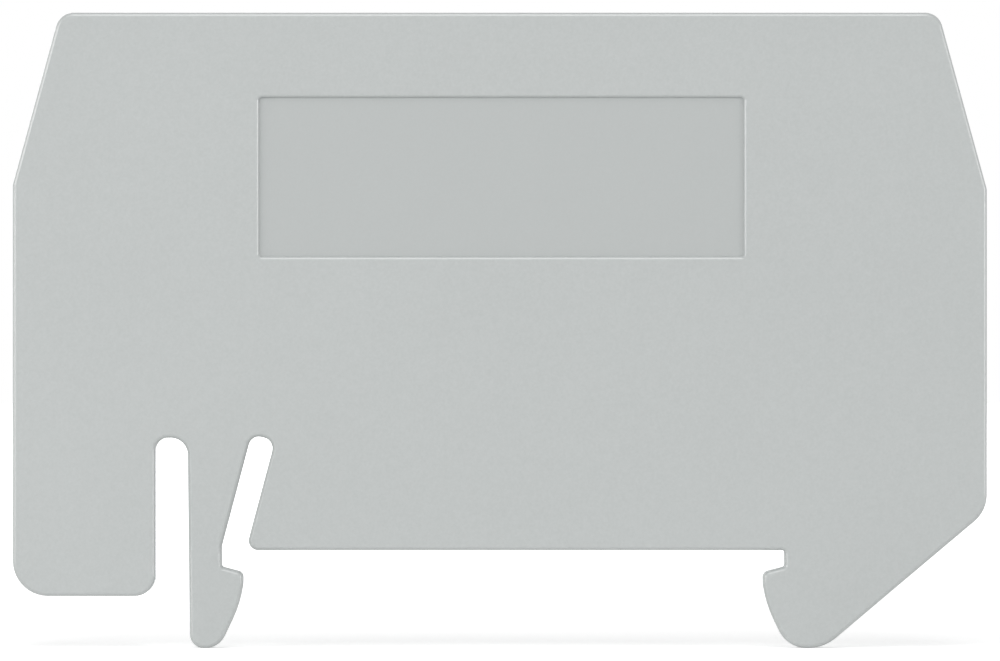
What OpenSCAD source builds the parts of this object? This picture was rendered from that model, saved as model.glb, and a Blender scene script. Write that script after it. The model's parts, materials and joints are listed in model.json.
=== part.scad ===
// Partition plate for rail-mounted terminal blocks.
// One flat moulding: it stands across a 35 mm top-hat rail, hooks a fixed foot under one lip of the rail
// and clips a springy latch leg under the other.
//
// Axes: X runs across the rail, Y along it through the thickness, Z away from it.
// The origin is the middle of the rail seat, half way through the thickness. The front faces -Y.

/* [Plate] */
// Thickness of the plate
plate_t = 2; // [1.5:0.1:3]
// Height of the top edge above the rail
plate_h = 33.6; // [30:0.1:40]
// Distance from the middle of the rail to the edge on the latch side
latch_edge = 30.65; // [28:0.05:34]
// Distance from the middle of the rail to the edge on the foot side
foot_edge = 30.25; // [28:0.05:34]
// Height of the shoulder on the latch side above the rail
latch_shoulder_h = 22.85; // [16:0.05:26]
// Height of the shoulder on the foot side above the rail
foot_shoulder_h = 22.55; // [16:0.05:26]
// Lean of the sides above the shoulders, in degrees
shoulder_lean = 15.3; // [5:0.1:25]
// Radius of the bend at the shoulders
shoulder_r = 0.75; // [0.5:0.05:3]
// Radius of the two top corners
top_corner_r = 1.1; // [0.4:0.1:3]
// Radius rounding the edges of the front
edge_r = 0.25; // [0.1:0.05:0.3]

/* [Recess] */
// Length of the recess
recess_l = 30.3; // [20:0.1:40]
// Height of the recess
recess_h = 9.95; // [6:0.05:12]
// Distance from the top edge down to the recess
recess_drop = 5.3; // [3:0.1:8]
// Distance of the middle of the recess from the middle of the rail, towards the foot side
recess_offset = -0.1; // [-3:0.1:3]
// Depth of the recess
recess_depth = 0.25; // [0.25:0.05:0.6]
// Radius of the corners of the recess
recess_corner_r = 0.2; // [0.1:0.05:1]
// Radius rounding the rim of the recess
recess_rim_r = 0.2; // [0.05:0.05:0.2]

/* [Rail] */
// Width of the rail over its lips
rail_w = 35; // [34:0.1:36]
// Thickness of the rail's lips
rail_lip_t = 1; // [0.8:0.1:1.5]
// Play of the plate across the rail
rail_play = 0.24; // [0.1:0.02:0.5]
// Play between a lip and the hook under it
lip_play = 0.05; // [0:0.05:0.3]
// Radius in the inner corners of the rail seat
notch_r = 0.2; // [0.1:0.05:0.4]

/* [Hooks] */
// Reach of the hooks under the rail's lips
hook_reach = 1.35; // [0.8:0.05:2]
// Slope of the hooks' upper sides, in degrees
hook_slope = 14.5; // [0:0.5:25]
// Radius of the hooks' points
hook_tip_r = 0.4; // [0.35:0.05:0.6]
// Height of the upright face of the hooks
hook_face_h = 0.7; // [0.6:0.05:0.9]
// Depth of the feet below the rail seat
foot_drop = 6.12; // [5.8:0.02:7]
// Lean of a foot's inner flank below the hook, in degrees
flank_lean_top = 8; // [5:0.5:14]
// Lean of a foot's inner flank at its lower end, in degrees
flank_lean_end = 25.5; // [22:0.5:27]
// Radius of the bend between the hook's face and the flank
flank_bend_r = 1.2; // [0.5:0.1:2]
// Radius of the flank's curve
flank_r = 7.5; // [5:0.5:8]

/* [Fixed foot] */
// Distance of the foot's outer side from the rail at the depth of the feet
foot_heel = 2.45; // [2:0.05:3.5]
// Slope of the foot's outer side, in degrees
foot_slope = 40.1; // [36:0.1:46]
// Radius where the foot side starts to slope in
foot_slope_r = 2.15; // [0.5:0.05:4]
// Radius of the foot's lower end on the side of the rail
foot_toe_r = 1.85; // [1:0.05:2]

/* [Latch leg] */
// Width of the latch leg at the rail
latch_w = 2.02; // [1.8:0.01:2.6]
// Taper of the latch leg's outer side, in degrees
latch_taper = 0.65; // [0:0.05:1.5]
// Radius of the latch leg's lower end on the side of the rail
latch_toe_r = 1.25; // [0.8:0.05:1.6]
// Width of the slot outside the latch leg at the rail
flex_slot_w = 2.1; // [1.5:0.1:3]
// Height of the end of that slot above the rail
flex_slot_h = 7.02; // [4:0.02:12]
// Radius in the corner of that end on the side of the skirt
flex_slot_r = 0.8; // [0.5:0.05:1]
// Width of the slot between the latch leg and the rail seat
relief_w = 1.55; // [1.2:0.05:2]
// Height of the end of that slot above the rail
relief_h = 6.85; // [4:0.05:12]
// Lean of that slot, in degrees
relief_lean = 14.9; // [10:0.1:17]
// Height above the rail at which that slot leaves the latch leg's rail face
relief_start = 0.25; // [0:0.05:1]
// Radius of the bends where that slot opens to the rail
seat_corner_r = 0.6; // [0.35:0.05:1.5]

/* [Skirt] */
// Depth of the skirt outside the latch leg below the rail seat
skirt_drop = 2.87; // [1.5:0.01:4]
// Radius of the skirt's outer corner
skirt_outer_r = 2.2; // [0.5:0.05:3]
// Radius of the skirt's inner corner
skirt_inner_r = 1.3; // [0.5:0.05:2]

/* [Hidden] */

// Fineness of round shapes
$fn = 96;
// Distance that cuts reach past the surface they open
overcut = 0.05;
// Excess of a corner's radius, with which its rounding crosses the two sides instead of just touching them
corner_over = 0.0002;
// Excess of an edge's radius, with which its rounding crosses the two faces in the same way
edge_over = 0.002;
// Excess of a bend's radius where a rounded edge follows it, with which the bend crosses the straight runs
bend_over = 0.0006;
// Flat left in the middle of a round end
end_flat = 0.16;

// Upright faces that hold the rail between them, and the height of the hooks' inner ends
rail_face = (rail_w + rail_play) / 2;
hook_root_z = -(rail_lip_t + lip_play);
hook_tip = rail_face - hook_reach;
hook_tip_z = hook_root_z - hook_reach * tan(hook_slope);
latch_outer = -rail_face - latch_w;
skirt_inner = latch_outer - flex_slot_w;

// The slot behind the latch leg leans away from the rail face: its direction, and the way across it
relief_dir = [sin(relief_lean), cos(relief_lean)];
relief_across = [cos(relief_lean), -sin(relief_lean)];
relief_left = [-rail_face, relief_start];
relief_right = relief_left + relief_w * relief_across;

// Point on the line through p along dir at height z
function at_height(p, dir, z) = p + dir * (z - p.y) / dir.y;

// The foot's inner flank: a short upright face below the hook's point, a slight bend, and a curve whose two
// end tangents meet at flank_bend
flank_top_dir = [sin(flank_lean_top), -cos(flank_lean_top)];
flank_end_dir = [sin(flank_lean_end), -cos(flank_lean_end)];
hook_face_end = [hook_tip, hook_tip_z - hook_face_h];
flank_turn = flank_lean_end - flank_lean_top;
flank_top_l = flank_bend_r * tan(flank_lean_top / 2) + flank_r * tan(flank_turn / 2);
flank_bend = hook_face_end + flank_top_l * flank_top_dir;

function mirrored(p) = [-p.x, p.y];

// A foot's lower end is round from side to side: toe on the side of the rail, heel on the outer side. The
// radius of the heel fills the width that the toe leaves
toe_point = at_height(flank_bend, flank_end_dir, -foot_drop);
function toe_reach(r) = r * tan(45 - flank_lean_end / 2);

// The fixed foot's outer side slopes down to the heel
foot_heel_point = [rail_face + foot_heel, -foot_drop];
foot_slope_start = foot_heel_point + (foot_edge - foot_heel_point.x) * [1, tan(foot_slope)];
foot_heel_r = (foot_heel_point.x - toe_point.x - toe_reach(foot_toe_r) - end_flat) / tan(foot_slope / 2);

// The latch leg's outer side tapers from the end of its slot down to the heel
latch_heel_point = [latch_outer + foot_drop * tan(latch_taper), -foot_drop];
flex_slot_top = [latch_outer - flex_slot_h * tan(latch_taper), flex_slot_h];
latch_end_w = -toe_point.x - latch_heel_point.x;
latch_heel_r = (latch_end_w - toe_reach(latch_toe_r) - end_flat) / tan(45 - latch_taper / 2);

// Radius in the other corner of that slot's end, and in both corners of the leaning slot's end
flex_slot_latch_r = (flex_slot_top.x - skirt_inner - flex_slot_r - end_flat) / tan(45 - latch_taper / 2);
relief_end_r = (relief_w - end_flat) / 2;

// Corners of the outline, clockwise seen from the front: [point, radius]
outline_corners = [
    [[-latch_edge + (plate_h - latch_shoulder_h) * tan(shoulder_lean), plate_h], top_corner_r],
    [[foot_edge - (plate_h - foot_shoulder_h) * tan(shoulder_lean), plate_h], top_corner_r],
    [[foot_edge, foot_shoulder_h], shoulder_r],
    // Fixed foot
    [foot_slope_start, foot_slope_r],
    [foot_heel_point, foot_heel_r],
    [toe_point, foot_toe_r],
    [flank_bend, flank_r],
    [hook_face_end, flank_bend_r],
    [[hook_tip, hook_tip_z], hook_tip_r],
    // Rail seat
    [[rail_face, hook_root_z], notch_r],
    [[rail_face, 0], notch_r],
    [at_height(relief_right, relief_dir, 0), seat_corner_r],
    // Slot between the rail seat and the latch leg
    [at_height(relief_right, relief_dir, relief_h), relief_end_r],
    [at_height(relief_right, relief_dir, relief_h) - relief_w * relief_across, relief_end_r],
    [relief_left, seat_corner_r],
    // Latch leg
    [[-rail_face, hook_root_z], notch_r],
    [[-hook_tip, hook_tip_z], hook_tip_r],
    [mirrored(hook_face_end), flank_bend_r],
    [mirrored(flank_bend), flank_r],
    [mirrored(toe_point), latch_toe_r],
    [latch_heel_point, latch_heel_r],
    [flex_slot_top, flex_slot_latch_r],
    // Skirt
    [[skirt_inner, flex_slot_h], flex_slot_r],
    [[skirt_inner, -skirt_drop], skirt_inner_r],
    [[-latch_edge, -skirt_drop], skirt_outer_r],
    [[-latch_edge, latch_shoulder_h], shoulder_r]
];

// Corners of the recess, clockwise too
recess_top_z = plate_h - recess_drop;
recess_corners = [
    [[recess_offset - recess_l / 2, recess_top_z], recess_corner_r],
    [[recess_offset + recess_l / 2, recess_top_z], recess_corner_r],
    [[recess_offset + recess_l / 2, recess_top_z - recess_h], recess_corner_r],
    [[recess_offset - recess_l / 2, recess_top_z - recess_h], recess_corner_r]
];

function unit(v) = v / norm(v);

function reversed(list) = [for (i = [len(list) - 1 : -1 : 0]) list[i]];

// The i-th sharp corner and its radius, counted round and round
function point(corners, i) = corners[(i + len(corners)) % len(corners)][0];
function radius(corners, i) = corners[(i + len(corners)) % len(corners)][1];

// Direction of the side that leaves corner i
function side_dir(corners, i) = unit(point(corners, i + 1) - point(corners, i));

// Turn of the way at corner i in degrees: positive at a hollow corner, negative at an outer one
function turn(corners, i) =
    let (way_in = side_dir(corners, i - 1))
    let (way_out = side_dir(corners, i))
    atan2(cross(way_in, way_out), way_in * way_out);

// Start, end and centre of the rounding at corner i
function reach(corners, i) = radius(corners, i) * tan(abs(turn(corners, i)) / 2);
function bend_start(corners, i) = point(corners, i) - reach(corners, i) * side_dir(corners, i - 1);
function bend_end(corners, i) = point(corners, i) + reach(corners, i) * side_dir(corners, i);
function left_of(dir) = [-dir.y, dir.x];
function bend_centre(corners, i) =
    bend_start(corners, i) + sign(turn(corners, i)) * radius(corners, i) * left_of(side_dir(corners, i - 1));

// Slivers between sharp corners and their roundings: of the hollow corners for side 1, of the outer for -1
module corner_slivers(corners, side) {
    for (i = [0 : len(corners) - 1]) {
        corner = point(corners, i);
        centre = bend_centre(corners, i);
        if (sign(turn(corners, i)) == side)
            difference() {
                polygon([
                    bend_start(corners, i),
                    corner + overcut * unit(corner - centre),
                    bend_end(corners, i)
                ]);
                translate(centre) circle(radius(corners, i) + corner_over);
            }
    }
}

// Slab of height h whose outline runs through corners, each with its radius
module rounded_slab(corners, h) {
    difference() {
        union() {
            linear_extrude(h) polygon([for (corner = corners) corner[0]]);
            linear_extrude(h) corner_slivers(corners, 1);
        }
        translate([0, 0, -overcut]) linear_extrude(h + 2 * overcut) corner_slivers(corners, -1);
    }
}

// Section of the waste of an edge rounded with radius r: X out from the wall, Y up from the face
module edge_waste(r) {
    translate([-r, -r])
        difference() {
            square(r + overcut);
            circle(r + edge_over);
        }
}

// Distance that the waste of a run reaches past its end, to cross the waste of the bend of radius r beside it
function run_over(r) = 1.6 * sqrt(2 * r * bend_over);

// Waste of an edge rounded with radius r at height h along the straight sides of the way through corners; the
// material lies on the right of the way
module straight_waste(corners, r, h) {
    for (i = [0 : len(corners) - 1]) {
        dir = side_dir(corners, i);
        over_start = turn(corners, i) > 0 ? 0 : run_over(radius(corners, i));
        over_end = turn(corners, i + 1) > 0 ? 0 : run_over(radius(corners, i + 1));
        start = bend_end(corners, i) - over_start * dir;
        end = bend_start(corners, i + 1) + over_end * dir;
        translate([start.x, start.y, h])
            rotate([90, 0, atan2(dir.x, -dir.y)])
                linear_extrude((end - start) * dir) edge_waste(r);
    }
}

// The same at the bends
module bend_waste(corners, r, h) {
    for (i = [0 : len(corners) - 1]) {
        hollow = turn(corners, i) > 0;
        centre = bend_centre(corners, i);
        first = (hollow ? bend_start(corners, i) : bend_end(corners, i)) - centre;
        over = hollow ? run_over(radius(corners, i)) / radius(corners, i) * 180 / PI : 0;
        translate([centre.x, centre.y, h])
            rotate(atan2(first.y, first.x) - over)
                rotate_extrude(angle = abs(turn(corners, i)) + 2 * over)
                    translate([radius(corners, i) + bend_over, 0])
                        mirror([hollow ? 1 : 0, 0])
                            edge_waste(r);
    }
}

// The plate lying on its back, front up
module flat_plate() {
    difference() {
        difference() {
            rounded_slab(outline_corners, plate_t);
            translate([0, 0, plate_t - recess_depth]) rounded_slab(recess_corners, recess_depth + overcut);
            straight_waste(outline_corners, edge_r, plate_t);
            straight_waste(reversed(recess_corners), recess_rim_r, plate_t);
        }
        bend_waste(outline_corners, edge_r, plate_t);
        bend_waste(reversed(recess_corners), recess_rim_r, plate_t);
    }
}

module partition_plate() {
    color("#c2c6c5")
        translate([0, plate_t / 2, 0])
            rotate([90, 0, 0])
                flat_plate();
}

partition_plate();
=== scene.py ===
import json
import math

import bpy
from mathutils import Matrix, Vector

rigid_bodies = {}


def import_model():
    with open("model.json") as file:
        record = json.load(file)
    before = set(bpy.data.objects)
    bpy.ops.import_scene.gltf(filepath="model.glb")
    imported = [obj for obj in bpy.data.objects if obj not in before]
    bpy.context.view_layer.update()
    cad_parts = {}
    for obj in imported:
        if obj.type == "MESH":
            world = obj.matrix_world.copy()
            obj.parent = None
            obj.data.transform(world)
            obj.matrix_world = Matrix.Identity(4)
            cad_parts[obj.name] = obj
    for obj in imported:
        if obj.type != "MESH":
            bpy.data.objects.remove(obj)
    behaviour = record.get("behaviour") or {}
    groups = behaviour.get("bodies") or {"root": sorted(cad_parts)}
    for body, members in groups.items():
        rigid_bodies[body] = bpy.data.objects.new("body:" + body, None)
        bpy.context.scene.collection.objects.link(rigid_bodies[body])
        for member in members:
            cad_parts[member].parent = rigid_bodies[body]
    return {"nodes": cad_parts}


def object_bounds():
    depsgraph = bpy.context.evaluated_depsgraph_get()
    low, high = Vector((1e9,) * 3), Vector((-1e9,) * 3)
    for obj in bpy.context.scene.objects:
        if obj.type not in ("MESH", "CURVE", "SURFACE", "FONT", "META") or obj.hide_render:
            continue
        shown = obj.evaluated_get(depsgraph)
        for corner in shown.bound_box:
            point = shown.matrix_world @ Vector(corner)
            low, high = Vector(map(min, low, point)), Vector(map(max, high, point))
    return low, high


for o in list(bpy.data.objects):
    bpy.data.objects.remove(o)

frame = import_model()
cad_low, cad_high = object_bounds()
plate = frame["nodes"]["partition_plate"]

MM = 0.001
FLOOR_Z = cad_low.z
FRONT_Y = cad_low.y

# The view: its middle on the plate's front, the distance of the camera from there and the width that it shows
CENTRE = Vector((-0.19 * MM, FRONT_Y, 13.73 * MM))
CAMERA_DISTANCE = 600.0 * MM
VIEW_WIDTH = 62.5 * MM
SENSOR_WIDTH = 36.0
CLIP_START, CLIP_END = 0.05, 20.0

# Deeper than this below the front, the floor of the recess is all that faces the front
RECESS_LIMIT = 0.2 * MM
# The zone of the two slots beside the latch leg: its middle and half its size
SLOTS_X, SLOTS_HALF_W = -17.8 * MM, 4.6 * MM
SLOTS_Z, SLOTS_HALF_H = 3.8 * MM, 3.8 * MM
# Beyond this on the latch side, the skirt's inner side is all that faces the foot
SKIRT_X = -20.7 * MM

PLASTIC_COLOUR = (0.479, 0.502, 0.497)
# Clouds, mottling and grain: cells in a metre, and the share by which they lift or lower the colour
CLOUD_CELLS, CLOUD_SHARE = 90.0, 0.009
MOTTLE_CELLS, MOTTLE_SHARE = 2500.0, 0.010
GRAIN_CELLS, GRAIN_SHARE = 6500.0, 0.032
# Specks: cells in a metre, the share by which they are darker, and where they start to fade and end in a cell
SPECK_CELLS, SPECK_SHARE = 160.0, 0.05
SPECK_CORE, SPECK_END = 0.006, 0.014
# The floor of the recess: the share by which it is darker, and the part of the unevenness that it lacks
RECESS_SHARE = 0.060
RECESS_SMOOTHING = 0.6
# The relief of the grain
GRAIN_HEIGHT = 0.004 * MM
GRAIN_STRENGTH = 0.5
# The lowest and highest roughness of the faces, and what the dull walls have on top of it
POLISH_LOW, POLISH_HIGH = 0.23, 0.27
WALL_DULLNESS = 0.55
# Flatness is 0 on a wall and 1 on a face: where walls give way to rounded edges, and rounded edges to faces
WALL_START, WALL_END = 0.05, 0.45
EDGE_START, EDGE_END = 0.90, 0.985

# The light that the surroundings cast; where they are seen, they are white
WORLD_LIGHT, WORLD_SEEN = 0.30, 1.0
# The floor, and the glow that whitens it where it is seen, from near the object to far away
FLOOR_SIZE = 4.0
FLOOR_COLOUR = (0.90, 0.90, 0.90, 1.0)
NEAR, FAR = 0.04, 0.20
GLOW_NEAR, GLOW_FAR = 0.44, 0.74


class Tree:
    """Small helper for building the node tree of a material or of the world."""

    def __init__(self, owner):
        owner.use_nodes = True
        self.nodes = owner.node_tree.nodes
        self.links = owner.node_tree.links
        self.nodes.clear()

    def node(self, kind, **settings):
        n = self.nodes.new(kind)
        for key, value in settings.items():
            setattr(n, key, value)
        return n

    def link(self, out, into):
        self.links.new(out, into)

    def value(self, x, socket):
        """Gives the socket x, which is another node's output or a number."""
        if isinstance(x, bpy.types.NodeSocket):
            self.link(x, socket)
        else:
            socket.default_value = x

    def math(self, operation, a, b=None, c=None):
        n = self.node("ShaderNodeMath", operation=operation)
        for i, x in enumerate((a, b, c)):
            if x is not None:
                self.value(x, n.inputs[i])
        return n.outputs[0]

    def span(self, x, low, high, to_low, to_high):
        """Turns low into to_low and high into to_high, evenly between them and not past them."""
        n = self.node("ShaderNodeMapRange")
        for i, v in enumerate((x, low, high, to_low, to_high)):
            self.value(v, n.inputs[i])
        return n.outputs[0]

    def noise(self, vector, scale, detail, roughness=0.5):
        n = self.node("ShaderNodeTexNoise")
        self.link(vector, n.inputs["Vector"])
        n.inputs["Scale"].default_value = scale
        n.inputs["Detail"].default_value = detail
        n.inputs["Roughness"].default_value = roughness
        return n.outputs["Fac"]


def wall_dullness(t, place, facing):
    """1 on the side walls, which were drawn out along the mould and are duller than the faces and the rounded
    edges, and 0 on those. In the two narrow slots beside the latch leg the edges are as dull as the walls,
    apart from the skirt's inner side, where nothing is dull."""
    flatness = t.math("ABSOLUTE", facing.outputs["Y"])
    across = t.math("COMPARE", place.outputs["X"], SLOTS_X, SLOTS_HALF_W)
    in_slots = t.math("MULTIPLY", across, t.math("COMPARE", place.outputs["Z"], SLOTS_Z, SLOTS_HALF_H))
    slot_edge = t.math("MULTIPLY", in_slots, t.span(flatness, EDGE_START, EDGE_END, 1.0, 0.0))
    dull = t.math("MAXIMUM", t.span(flatness, WALL_START, WALL_END, 1.0, 0.0), slot_edge)
    on_skirt = t.math("LESS_THAN", place.outputs["X"], SKIRT_X)
    inner_side = t.math("MULTIPLY", on_skirt, t.math("GREATER_THAN", facing.outputs["X"], 0.1))
    return t.math("MULTIPLY", dull, t.math("SUBTRACT", 1.0, inner_side))


def moulded_plastic():
    """Light grey plastic with a fine matt grain; the floor of the recess is smoother and a touch darker."""
    material = bpy.data.materials.new("grey_plastic")
    t = Tree(material)
    coords = t.node("ShaderNodeTexCoord").outputs["Object"]
    place = t.node("ShaderNodeSeparateXYZ")
    t.link(coords, place.inputs[0])
    facing = t.node("ShaderNodeSeparateXYZ")
    t.link(t.node("ShaderNodeNewGeometry").outputs["Normal"], facing.inputs[0])

    behind = t.math("GREATER_THAN", place.outputs["Y"], FRONT_Y + RECESS_LIMIT)
    to_front = t.math("LESS_THAN", facing.outputs["Y"], -0.98)
    recess = t.math("MULTIPLY", behind, to_front)
    unevenness = t.math("MULTIPLY_ADD", recess, -RECESS_SMOOTHING, 1.0)

    cloud = t.noise(coords, CLOUD_CELLS, detail=3.0)
    mottle = t.noise(coords, MOTTLE_CELLS, detail=2.0)
    grain = t.noise(coords, GRAIN_CELLS, detail=2.0, roughness=0.6)
    tone = t.math(
        "ADD",
        t.span(cloud, 0.3, 0.7, -CLOUD_SHARE, CLOUD_SHARE),
        t.span(mottle, 0.3, 0.7, -MOTTLE_SHARE, MOTTLE_SHARE),
    )
    tone = t.math("ADD", tone, t.span(grain, 0.25, 0.75, -GRAIN_SHARE, GRAIN_SHARE))
    tone = t.math("MULTIPLY", tone, unevenness)
    tone = t.math("ADD", tone, t.math("MULTIPLY_ADD", recess, -RECESS_SHARE, 1.0))

    # Sparse dark specks of the size of a grain of dust
    specks = t.node("ShaderNodeTexVoronoi")
    t.link(coords, specks.inputs["Vector"])
    specks.inputs["Scale"].default_value = SPECK_CELLS
    shade = t.span(specks.outputs["Distance"], SPECK_CORE, SPECK_END, SPECK_SHARE, 0.0)
    tone = t.math("SUBTRACT", tone, shade)

    colour = t.node("ShaderNodeVectorMath", operation="SCALE")
    colour.inputs[0].default_value = PLASTIC_COLOUR
    t.link(tone, colour.inputs["Scale"])

    bump = t.node("ShaderNodeBump")
    bump.inputs["Distance"].default_value = GRAIN_HEIGHT
    bump.inputs["Strength"].default_value = GRAIN_STRENGTH
    t.link(t.math("MULTIPLY", grain, unevenness), bump.inputs["Height"])

    polish = t.span(mottle, 0.3, 0.7, POLISH_LOW, POLISH_HIGH)
    roughness = t.math("MULTIPLY_ADD", wall_dullness(t, place, facing), WALL_DULLNESS, polish)

    shader = t.node("ShaderNodeBsdfPrincipled")
    t.link(colour.outputs[0], shader.inputs["Base Color"])
    t.link(roughness, shader.inputs["Roughness"])
    t.link(bump.outputs[0], shader.inputs["Normal"])
    shader.inputs["IOR"].default_value = 1.5
    shader.inputs["Specular IOR Level"].default_value = 1.0
    out = t.node("ShaderNodeOutputMaterial")
    t.link(shader.outputs[0], out.inputs["Surface"])
    return material


def seen_directly(t):
    """1 for rays that show a surface to the camera, straight or through a reflection, else 0."""
    path = t.node("ShaderNodeLightPath")
    seen = t.math("MAXIMUM", path.outputs["Is Camera Ray"], path.outputs["Is Glossy Ray"])
    return t.math("MAXIMUM", seen, path.outputs["Is Transmission Ray"])


def white_floor():
    """White floor that keeps the object's shadow; away from the object it fades into the white background."""
    material = bpy.data.materials.new("studio_floor")
    t = Tree(material)
    away = t.node("ShaderNodeVectorMath", operation="LENGTH")
    t.link(t.node("ShaderNodeTexCoord").outputs["Object"], away.inputs[0])
    diffuse = t.node("ShaderNodeBsdfDiffuse")
    diffuse.inputs["Color"].default_value = FLOOR_COLOUR
    glow = t.node("ShaderNodeEmission")
    strength = t.span(away.outputs["Value"], NEAR, FAR, GLOW_NEAR, GLOW_FAR)
    t.link(t.math("MULTIPLY", seen_directly(t), strength), glow.inputs["Strength"])
    both = t.node("ShaderNodeAddShader")
    t.link(diffuse.outputs[0], both.inputs[0])
    t.link(glow.outputs[0], both.inputs[1])
    out = t.node("ShaderNodeOutputMaterial")
    t.link(both.outputs[0], out.inputs["Surface"])
    return material


def softbox(name, azimuth, elevation, distance, width, height, power):
    """Rectangular lamp that faces the middle of the view. The angles, in degrees, say where it stands as seen
    from there: azimuth turns from the camera's side towards +X."""
    data = bpy.data.lights.new(name, "AREA")
    data.shape = "RECTANGLE"
    data.size, data.size_y = width, height
    data.energy = power
    lamp = bpy.data.objects.new(name, data)
    bpy.context.scene.collection.objects.link(lamp)
    a, e = math.radians(azimuth), math.radians(elevation)
    away = Vector((math.sin(a) * math.cos(e), -math.cos(a) * math.cos(e), math.sin(e)))
    lamp.location = CENTRE + away * distance
    lamp.rotation_euler = (-away).to_track_quat("-Z", "Y").to_euler()


plate.data.materials.clear()
plate.data.materials.append(moulded_plastic())

bpy.ops.mesh.primitive_plane_add(size=FLOOR_SIZE, location=(0, 0, FLOOR_Z))
floor = bpy.context.object
floor.name = "studio_floor"
floor.data.materials.append(white_floor())

world = bpy.data.worlds.new("studio")
bpy.context.scene.world = world
sky = Tree(world)
light = sky.node("ShaderNodeBackground")
light.inputs["Color"].default_value = (1.0, 1.0, 1.0, 1.0)
sky.link(sky.span(seen_directly(sky), 0.0, 1.0, WORLD_LIGHT, WORLD_SEEN), light.inputs["Strength"])
sky_out = sky.node("ShaderNodeOutputWorld")
sky.link(light.outputs[0], sky_out.inputs["Surface"])

softbox("top_light", azimuth=0, elevation=47, distance=3.0, width=1.20, height=3.20, power=32.0)
softbox("left_light", azimuth=-55, elevation=11, distance=0.6, width=0.50, height=0.25, power=1.30)
softbox("right_light", azimuth=56, elevation=7, distance=1.4, width=0.75, height=0.32, power=5.0)
softbox("back_light", azimuth=-157, elevation=20, distance=1.5, width=0.90, height=0.70, power=8.5)

# The camera looks at the plate square on
camera_data = bpy.data.cameras.new("camera")
camera_data.sensor_width = SENSOR_WIDTH
camera_data.lens = SENSOR_WIDTH * CAMERA_DISTANCE / VIEW_WIDTH
camera_data.clip_start = CLIP_START
camera_data.clip_end = CLIP_END
camera = bpy.data.objects.new("camera", camera_data)
bpy.context.scene.collection.objects.link(camera)
camera.location = CENTRE + Vector((0, -CAMERA_DISTANCE, 0))
camera.rotation_euler = (math.radians(90), 0, 0)
bpy.context.scene.camera = camera

bpy.context.scene.view_settings.view_transform = "Standard"
